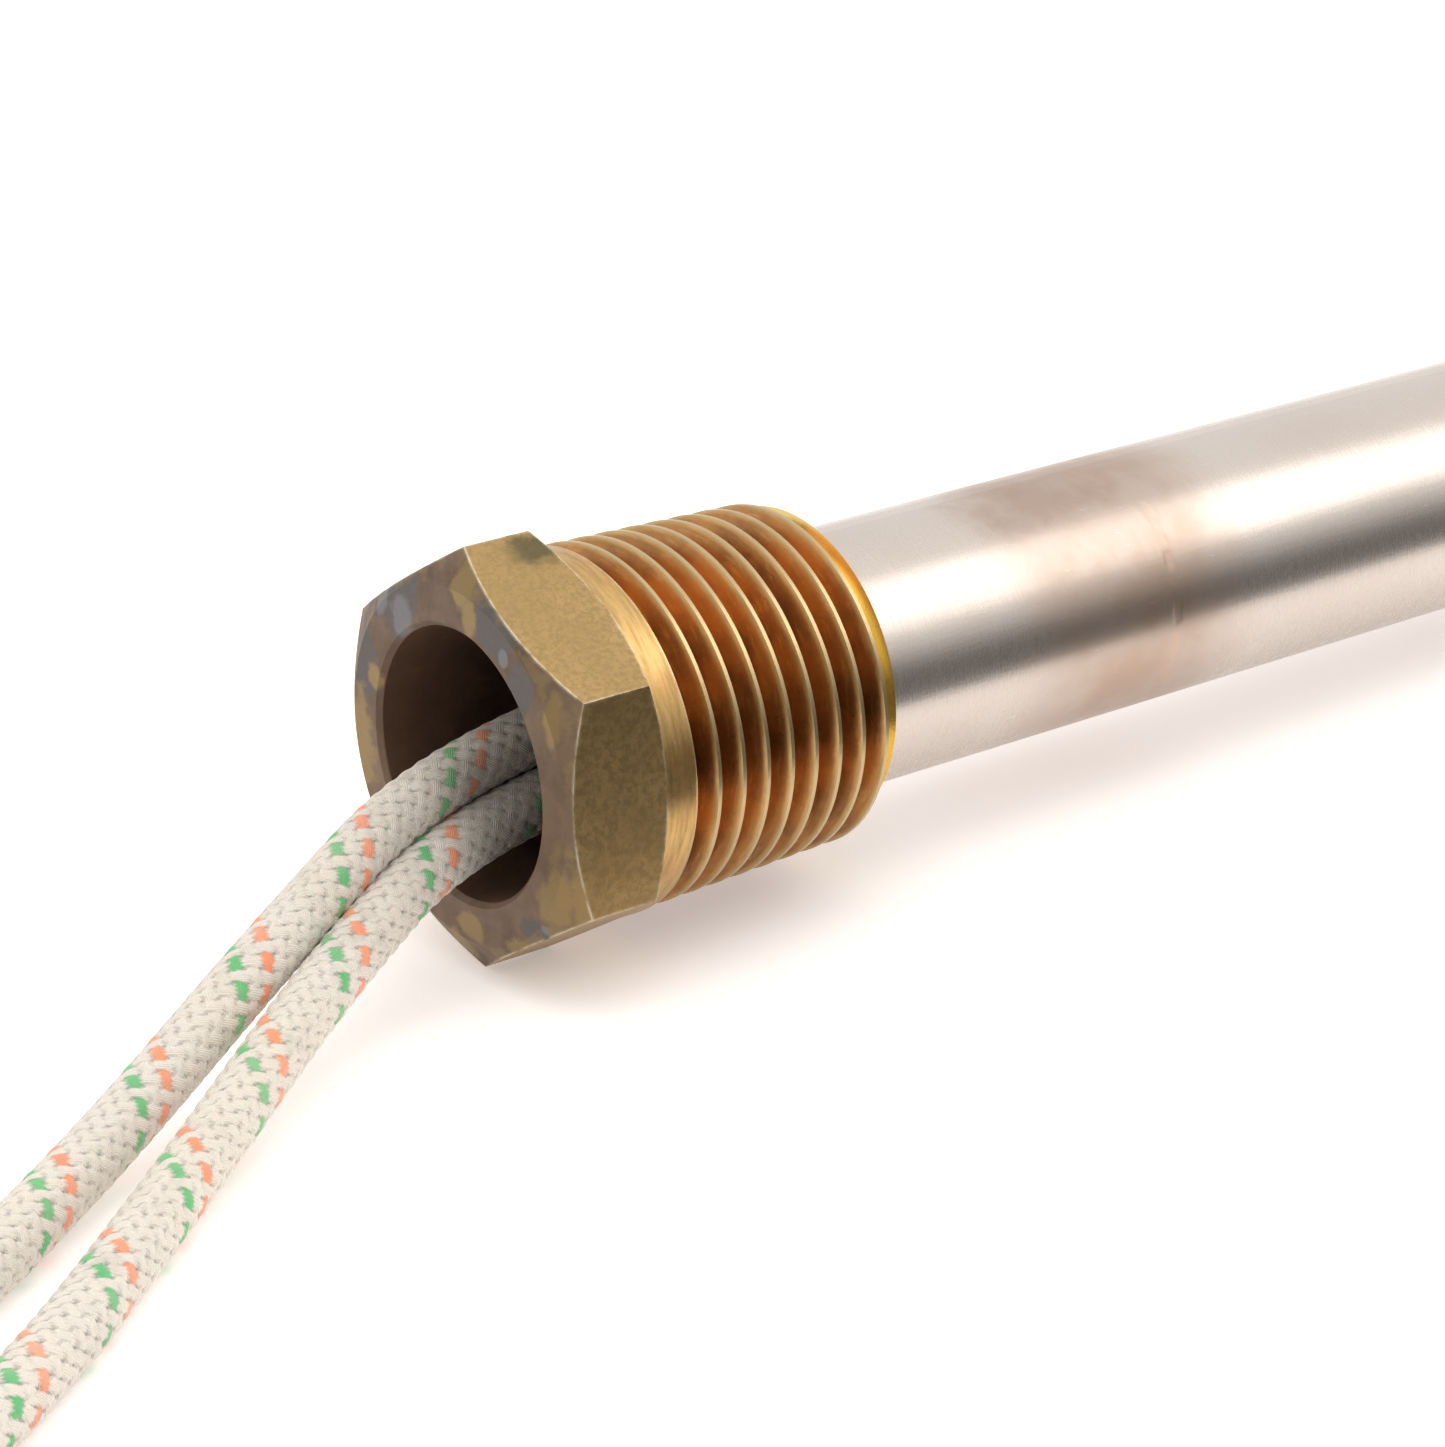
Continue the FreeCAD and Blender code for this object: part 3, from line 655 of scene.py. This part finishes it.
class PROBE_OT_fittings(bpy.types.Operator):
    """Give the tie, the lead ends and every piece inside the sheath their finishes"""

    bl_idname = "probe.fittings"
    bl_label = "Fittings and Inner Pieces"

    def execute(self, context):
        s = context.scene.probe_fittings
        leads = context.scene.probe_leads
        sides = ("a", "b")
        round_lines = (6.0, 0.4, 0.4)
        ceramic = speckled_material("fired ceramic", s.ceramic, 0.18, 0.0, 0.55, 0.006 * MM, contrast=0.12)
        dress(ceramic, "element_former", *("insulator_bead_%d" % (n + 1) for n in range(6)))
        powder = speckled_material("pressed powder", s.ceramic, 0.35, 0.0, 0.85, 0.03 * MM, contrast=0.2)
        dress(powder, "element_spacer", "tip_pad")
        winding = speckled_material("winding wire", s.bright, 0.20, 1.0, 0.18, 0.004 * MM)
        dress(winding, "element_winding")
        drawn = speckled_material("drawn wire", s.wire, 0.25, 1.0, 0.30, 0.004 * MM, (0.2, 1.0, 1.0))
        dress(drawn, *("extension_wire_" + side for side in sides))
        crimp = speckled_material("crimped sleeve", s.bright, 0.30, 1.0, 0.30, 0.02 * MM, round_lines)
        dress(crimp, *("crimp_" + side for side in sides))
        cement = speckled_material("cement", s.cement, 0.45, 0.0, 0.88, 0.08 * MM, contrast=0.35)
        dress(cement, "rear_cement")
        sleeving = woven_material("woven sleeving", s.sleeve, [c * 0.55 for c in s.sleeve])
        dress(sleeving, *("crimp_cover_" + side for side in sides), *("end_sleeve_" + side for side in sides))
        inner = woven_material("glass braid inside", leads.white, leads.dirt)
        dress(inner, *("lead_inner_" + side for side in sides))
        tinned = speckled_material("tinned ferrule", s.bright, 0.28, 1.0, 0.26, 0.015 * MM, round_lines)
        dress(tinned, *("end_ferrule_" + side for side in sides))
        lengthwise = (0.5, 1.0, 1.0)
        nylon = speckled_material("nylon tie", s.tie, 0.40, 0.0, 0.42, 0.02 * MM, lengthwise, contrast=0.1)
        dress(nylon, "coil_tie")
        return {"FINISHED"}


# ---------------------------------------------------------------- leads


def smooth(low, high, value):
    t = min(max((value - low) / (high - low), 0.0), 1.0)
    return t * t * (3 - 2 * t)


def coil_entry(start, radius):
    """Angle about the coil's centre where a straight run from start meets a turn."""
    dx, dy = COIL_CENTRE[0] - start[0], COIL_CENTRE[1] - start[1]
    away = math.hypot(dx, dy)
    return math.atan2(dy, dx) + math.asin(radius / away) + math.pi / 2


def coil_points(entry, leave, first_radius, second_radius, swap, rise):
    """Points of the wound turns, clockwise. A lead changes place once, towards the end of
    its first turn, and climbs a layer towards the end of every turn."""
    wound = math.degrees(entry - math.radians(leave)) % 360 + 360 * COIL_LAYERS_BELOW
    count = int(wound / 360 * COIL_POINTS_PER_TURN)
    points = []
    for step in range(count + 1):
        turned = wound * step / count
        layer = smooth(*rise, turned) + smooth(*LAST_CLIMB, turned) * LAST_CLIMB_LAYERS
        radius = first_radius + (second_radius - first_radius) * smooth(*swap, turned)
        angle = entry - math.radians(turned)
        x = COIL_CENTRE[0] + radius * math.cos(angle)
        y = COIL_CENTRE[1] + radius * math.sin(angle)
        points.append(Vector((x, y, table_z(x) + LEAD_RADIUS + min(layer, COIL_TOP_LAYER) * LEAD_DIA)))
    return points


def tail_points(start, leave):
    angle = math.radians(leave)
    heading = Vector((math.sin(angle), -math.cos(angle), 0))
    points = []
    for share, height in TAIL_PROFILE:
        spot = start + heading * (TAIL_LENGTH * share)
        points.append(Vector((spot.x, spot.y, table_z(spot.x) + height)))
    return points


def lead_route(rows, leave, first_radius, second_radius, swap, rise):
    points = []
    for x, y, z in rows:
        x, y = x * MM, y * MM
        z = table_z(x) + LEAD_RADIUS if z is None else z * MM
        points.append(Vector((x, y, z)))
    entry = coil_entry(points[-1], first_radius)
    turns = coil_points(entry, leave, first_radius, second_radius, swap, rise)
    return points + turns + tail_points(turns[-1], leave)


def route_curve(name, points):
    curve = bpy.data.curves.new(name, "CURVE")
    curve.dimensions = "3D"
    curve.resolution_u = 24
    spline = curve.splines.new("NURBS")
    spline.points.add(len(points) - 1)
    for spot, point in zip(spline.points, points):
        spot.co = (*point, 1.0)
    spline.order_u = 3
    spline.use_endpoint_u = True
    return curve


def centreline(curve):
    """Points read along the smooth route."""
    probe = bpy.data.objects.new("route_probe", curve)
    bpy.context.scene.collection.objects.link(probe)
    bpy.context.view_layer.update()
    mesh = bpy.data.meshes.new_from_object(probe)
    line = np.zeros(len(mesh.vertices) * 3)
    mesh.vertices.foreach_get("co", line)
    bpy.data.meshes.remove(mesh)
    bpy.data.objects.remove(probe)
    return line.reshape(-1, 3)


def stations(line, fine_length, fine_step, coarse_step):
    """Points along the line: close together on the free length, wider apart in the coil."""
    gaps = np.linalg.norm(np.diff(line, axis=0), axis=1)
    line = line[np.concatenate(([True], gaps > 1e-9))]
    along = np.concatenate(([0.0], np.cumsum(gaps[gaps > 1e-9])))
    total = along[-1]
    fine = np.arange(0, fine_length, fine_step)
    coarse = np.linspace(fine_length, total, int((total - fine_length) / coarse_step))
    marks = np.concatenate((fine, coarse))
    return marks, np.stack([np.interp(marks, along, line[:, k]) for k in range(3)], 1)


def carried_frames(spots):
    """Two sideways directions at each point, carried along without twist."""
    tangents = np.gradient(spots, axis=0)
    tangents /= np.linalg.norm(tangents, axis=1)[:, None]
    side = np.cross(tangents[0], (0.0, 0.0, 1.0))
    sides = np.zeros_like(spots)
    for index, tangent in enumerate(tangents):
        side = side - tangent * side.dot(tangent)
        side /= np.linalg.norm(side)
        sides[index] = side
    return sides, np.cross(tangents, sides)


def braid(marks, angles, settings, phase):
    """Relief and marked yarns of a one-over-one braid at each station and angle."""
    yarns = settings.yarns
    s = marks[:, None] / settings.braid_pitch * yarns
    t = angles[None, :] / (2 * math.pi) * yarns
    left, right = t + s - phase, t - s
    left_no, right_no = np.floor(left), np.floor(right)
    left_sign, right_sign = 1 - 2 * (left_no % 2), 1 - 2 * (right_no % 2)

    def yarn(place, number, other, sign):
        across = (place - number - 0.5) * 2 / settings.yarn_share
        crown = np.sqrt(np.clip(1 - across ** 2, 0, 1))
        weave = sign * np.cos(np.pi * (other - 0.5))
        return across, np.where(crown > 0, YARN_CROWN * crown + YARN_WAVE * weave, -YARN_WAVE)

    left_across, left_height = yarn(left, left_no, right, left_sign)
    right_across, right_height = yarn(right, right_no, left, -right_sign)
    over = left_height > right_height
    height = np.maximum(left_height, right_height)
    height = np.clip((height + YARN_WAVE) / (YARN_CROWN + 2 * YARN_WAVE), 0, 1)
    number = np.where(over & (np.abs(left_across) < 1), left_no % yarns, -1)
    return height, number, np.where(over, left_across, right_across)


def braided_lead(name, route, settings, phase):
    line = centreline(route_curve(name + "_route", route))
    marks, spots = stations(line, BRAID_FINE_LENGTH, BRAID_FINE_STEP, BRAID_COIL_STEP)
    sides, ups = carried_frames(spots)
    around = BRAID_POINTS_ROUND
    angles = np.arange(around) * 2 * math.pi / around
    height, number, across = braid(marks, angles, settings, phase)
    radius = LEAD_RADIUS + BRAID_SWELL - settings.relief * (1 - height)
    ring = (sides[:, None, :] * np.cos(angles)[None, :, None]
            + ups[:, None, :] * np.sin(angles)[None, :, None])
    verts = spots[:, None, :] + ring * radius[:, :, None]
    index = np.arange(len(marks) * around).reshape(len(marks), around)
    turned = np.roll(index, -1, axis=1)
    faces = np.stack((index[:-1], turned[:-1], turned[1:], index[1:]), -1).reshape(-1, 4)
    mesh = bpy.data.meshes.new(name)
    caps = [index[0][::-1].tolist(), index[-1].tolist()]
    mesh.from_pydata(verts.reshape(-1, 3).tolist(), [], faces.tolist() + caps)
    mesh.polygons.foreach_set("use_smooth", [True] * len(mesh.polygons))
    for label, values in (
        ("green yarn", (number == 0) * 1.0),
        ("orange yarn", (number == settings.yarns - YARNS_TO_SECOND_TRACER) * 1.0),
        ("yarn height", height),
        ("yarn across", across),
    ):
        layer = mesh.attributes.new(label, "FLOAT", "POINT")
        layer.data.foreach_set("value", values.reshape(-1).astype(np.float32))
    piece = bpy.data.objects.new(name, mesh)
    bpy.context.scene.collection.objects.link(piece)
    return piece, spots, float(marks[-1])


def yarn_value(g, name):
    return g.node("ShaderNodeAttribute", attribute_name=name).outputs["Fac"]


def braid_material(settings):
    material, g, shader, place = new_material("braided glass fibre")
    height, across = yarn_value(g, "yarn height"), yarn_value(g, "yarn across")
    fibre = g.math("SINE", g.math("MULTIPLY", across, 17.0))
    fuzz = g.noise(place, 4200.0, 3.0, 0.7)
    stain = once("mottled stain", mottle)
    dirty = g.group(stain, Position=place, Size=4.2, Cover=0.36, Edge=0.16)[0]
    grey = g.group(stain, Position=place, Size=0.9, Cover=0.42, Edge=0.14)[0]
    thin = g.math("MULTIPLY", g.between(0.35, 0.7, fuzz), 0.25)
    white = g.blend(thin, settings.white, [c * 0.72 for c in settings.white])
    white = g.blend(g.math("MULTIPLY", g.math("MULTIPLY", dirty, grey), 0.55), white, settings.dirt)
    warm = g.group(stain, Position=place, Size=6.0, Cover=0.4, Edge=0.2)[0]
    white = g.blend(g.math("MULTIPLY", warm, 0.25), white, (0.78, 0.70, 0.50))
    dye = g.between(0.10, 0.32, height)
    faded = g.math("MULTIPLY", dye, g.between(0.25, 0.75, g.noise(place, 330.0), 1.0, 0.72))
    base = g.blend(g.math("MULTIPLY", yarn_value(g, "green yarn"), faded), white, settings.green)
    base = g.blend(g.math("MULTIPLY", yarn_value(g, "orange yarn"), faded), base, settings.orange)
    # darker in the gaps between yarns: partly dirt caught there, partly painted shade
    gap_dirt_and_shade = g.between(0.36, 0.0, height)
    base = g.blend(g.math("MULTIPLY", gap_dirt_and_shade, 0.40), base, [c * 0.6 for c in settings.dirt])
    # painted shade: the leads are darkened near black in and near the mouth of the bore, most on their lower
    # side
    parts = g.node("ShaderNodeSeparateXYZ", g.stretched(place, 1000, 1000, 1000)).outputs
    bore_shade_on_leads = g.math("MULTIPLY", g.between(-9.5, -5.5, parts[0]), g.between(1.0, -1.0, parts[2]))
    bore_shade_on_leads = g.math("MULTIPLY", bore_shade_on_leads, g.between(0.0, 1.0, fuzz, 0.4, 0.75))
    base = g.blend(bore_shade_on_leads, base, (0.085, 0.085, 0.065))
    g.feed(shader.inputs["Base Color"], base)
    shader.inputs["Roughness"].default_value = 0.62
    shader.inputs["Sheen Weight"].default_value = 0.25
    shader.inputs["Subsurface Weight"].default_value = 0.12
    shader.inputs["Subsurface Scale"].default_value = 0.4 * MM
    marks = g.math("ADD", g.math("MULTIPLY", fibre, 0.35), g.math("MULTIPLY", fuzz, 0.9))
    g.feed(shader.inputs["Normal"], g.bump(marks, 0.035 * MM, 0.8))
    return material


class PROBE_OT_leads(bpy.types.Operator):
    """Weave the two braided leads along their routes and wind up their spare length"""

    bl_idname = "probe.leads"
    bl_label = "Braided Leads"

    def execute(self, context):
        settings = context.scene.probe_leads
        material = braid_material(settings)
        # side, route, angle of the tail, first and second turn, degrees of the change of
        # turns and of the climb, and where the braid starts
        plans = (
            ("a", LEAD_A_ROUTE, TAIL_A_ANGLE, COIL_INNER_TURN, COIL_OUTER_TURN, (270, 318), (315, 360), 0.5),
            ("b", LEAD_B_ROUTE, TAIL_B_ANGLE, COIL_OUTER_TURN, COIL_INNER_TURN, (215, 270), (195, 250), 4.0),
        )
        for side, rows, leave, first_radius, second_radius, swap, rise, phase in plans:
            route = lead_route(rows, leave, first_radius, second_radius, swap, rise)
            piece, spots, length = braided_lead("braided_lead_" + side, route, settings, phase)
            piece.data.materials.append(material)
            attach(piece, "root")
            taken = ["lead_" + side, "lead_tail_" + side]
            if side == "a":
                taken.append("lead_coil")
            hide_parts(*taken)
            print("lead", side, round(length / MM, 1), "mm")
        return {"FINISHED"}


# ---------------------------------------------------------------- stage


def aim(turn, height, roll):
    back = Vector((
        math.sin(turn) * math.cos(height), -math.cos(turn) * math.cos(height), math.sin(height)))
    right = Vector((math.cos(turn), math.sin(turn), 0.0))
    up = back.cross(right)
    tilted = right * math.cos(roll) + up * math.sin(roll)
    return Matrix((tilted, back.cross(tilted), back)).transposed()


def area_light(name, place, target, size, power, tone):
    lamp = bpy.data.lights.new(name, "AREA")
    lamp.shape = "RECTANGLE"
    lamp.size, lamp.size_y = size
    lamp.energy = power
    lamp.color = tone
    piece = bpy.data.objects.new(name, lamp)
    piece.location = place
    piece.rotation_euler = (Vector(target) - Vector(place)).to_track_quat("-Z", "Y").to_euler()
    bpy.context.scene.collection.objects.link(piece)
    return piece


def table_piece(name, y_from, y_to, material):
    mesh = bpy.data.meshes.new(name)
    left, right = -TABLE_REACH, TABLE_REACH
    corners = ((left, y_from), (right, y_from), (right, y_to), (left, y_to))
    mesh.from_pydata([(x, y, table_z(x)) for x, y in corners], [], [(0, 1, 2, 3)])
    mesh.materials.append(material)
    piece = bpy.data.objects.new(name, mesh)
    bpy.context.scene.collection.objects.link(piece)
    return piece


def white_room(settings):
    """White all round, except low down on the camera's side, where the room is dark."""
    world = bpy.data.worlds.new("white room")
    world.use_nodes = True
    g = Graph(world.node_tree)
    background = world.node_tree.nodes["Background"]
    parts = g.node("ShaderNodeSeparateXYZ", g.node("ShaderNodeTexCoord").outputs["Generated"]).outputs
    up = g.between(-0.22, 0.5, parts[2])
    far = g.between(-0.15, 0.35, parts[1])
    light = g.math("MAXIMUM", up, far)
    strength = g.between(0.0, 1.0, light, settings.shade, settings.room)
    background.inputs["Color"].default_value = (1.0, 0.965, 0.945, 1)
    g.feed(background.inputs["Strength"], strength)
    return world


class PROBE_OT_stage(bpy.types.Operator):
    """Set the table, the soft lights and the camera"""

    bl_idname = "probe.stage"
    bl_label = "Table, Lights and Camera"

    def execute(self, context):
        settings = context.scene.probe_stage
        scene = context.scene
        camera = bpy.data.cameras.new("camera")
        camera.lens = settings.lens
        camera.sensor_width = 36.0
        camera.clip_start = 0.01
        camera.clip_end = 20
        holder = bpy.data.objects.new("camera", camera)
        turned = aim(settings.camera_turn, settings.camera_height, settings.camera_roll)
        holder.matrix_world = Matrix.Translation(settings.camera_place) @ turned.to_4x4()
        scene.collection.objects.link(holder)
        scene.camera = holder

        material, g, shader, place = new_material("white table")
        shader.inputs["Base Color"].default_value = (*settings.table, 1)
        shader.inputs["Roughness"].default_value = 0.7
        shader.inputs["Specular IOR Level"].default_value = 0.2
        # painted light: the table gives out light of its own, which lifts the shadows on it
        shader.inputs["Emission Color"].default_value = (1.0, 0.955, 0.94, 1)
        shader.inputs["Emission Strength"].default_value = settings.painted_glow
        table_piece("table", TABLE_FRONT_Y, TABLE_REACH, material)
        front = table_piece("table_front", -TABLE_REACH, TABLE_FRONT_Y, material)
        front.visible_glossy = False

        scene.world = white_room(settings)
        area_light("top_softbox", (0.0, 0.0, 0.80), (0.0, 0, 0), (0.85, 0.85), 2.5, (1.0, 0.985, 0.97))
        area_light("right_softbox", (0.41, -0.25, 0.37), (0.03, 0, 0), (0.32, 0.34), 0.50, (1.0, 0.98, 0.96))
        scene.view_settings.view_transform = "Standard"
        return {"FINISHED"}


# ---------------------------------------------------------------- panel and running


class PROBE_PT_panel(bpy.types.Panel):
    """Lists the probe's pieces and their settings"""

    bl_label = "Flame Sensor Probe"
    bl_idname = "PROBE_PT_panel"
    bl_space_type = "VIEW_3D"
    bl_region_type = "UI"
    bl_category = "Probe"

    def draw(self, context):
        for operator in BUILD_ORDER:
            self.layout.operator(operator.bl_idname)
        for name in SETTINGS:
            group = getattr(context.scene, name)
            box = self.layout.box()
            for field in group.__annotations__:
                box.prop(group, field)


SETTINGS = {
    "probe_brass": BrassSettings,
    "probe_steel": SteelSettings,
    "probe_leads": LeadSettings,
    "probe_fittings": FittingSettings,
    "probe_stage": StageSettings,
}
BUILD_ORDER = (PROBE_OT_stage, PROBE_OT_leads, PROBE_OT_bushing, PROBE_OT_sheath, PROBE_OT_fittings)
CLASSES = (*SETTINGS.values(), *BUILD_ORDER, PROBE_PT_panel)


def register():
    for item in CLASSES:
        bpy.utils.register_class(item)
    for name, group in SETTINGS.items():
        setattr(bpy.types.Scene, name, PointerProperty(type=group))


def unregister():
    for name in SETTINGS:
        delattr(bpy.types.Scene, name)
    for item in reversed(CLASSES):
        bpy.utils.unregister_class(item)


def main():
    register()
    for operator in BUILD_ORDER:
        family, name = operator.bl_idname.split(".")
        getattr(getattr(bpy.ops, family), name)()


if __name__ == "__main__":
    main()
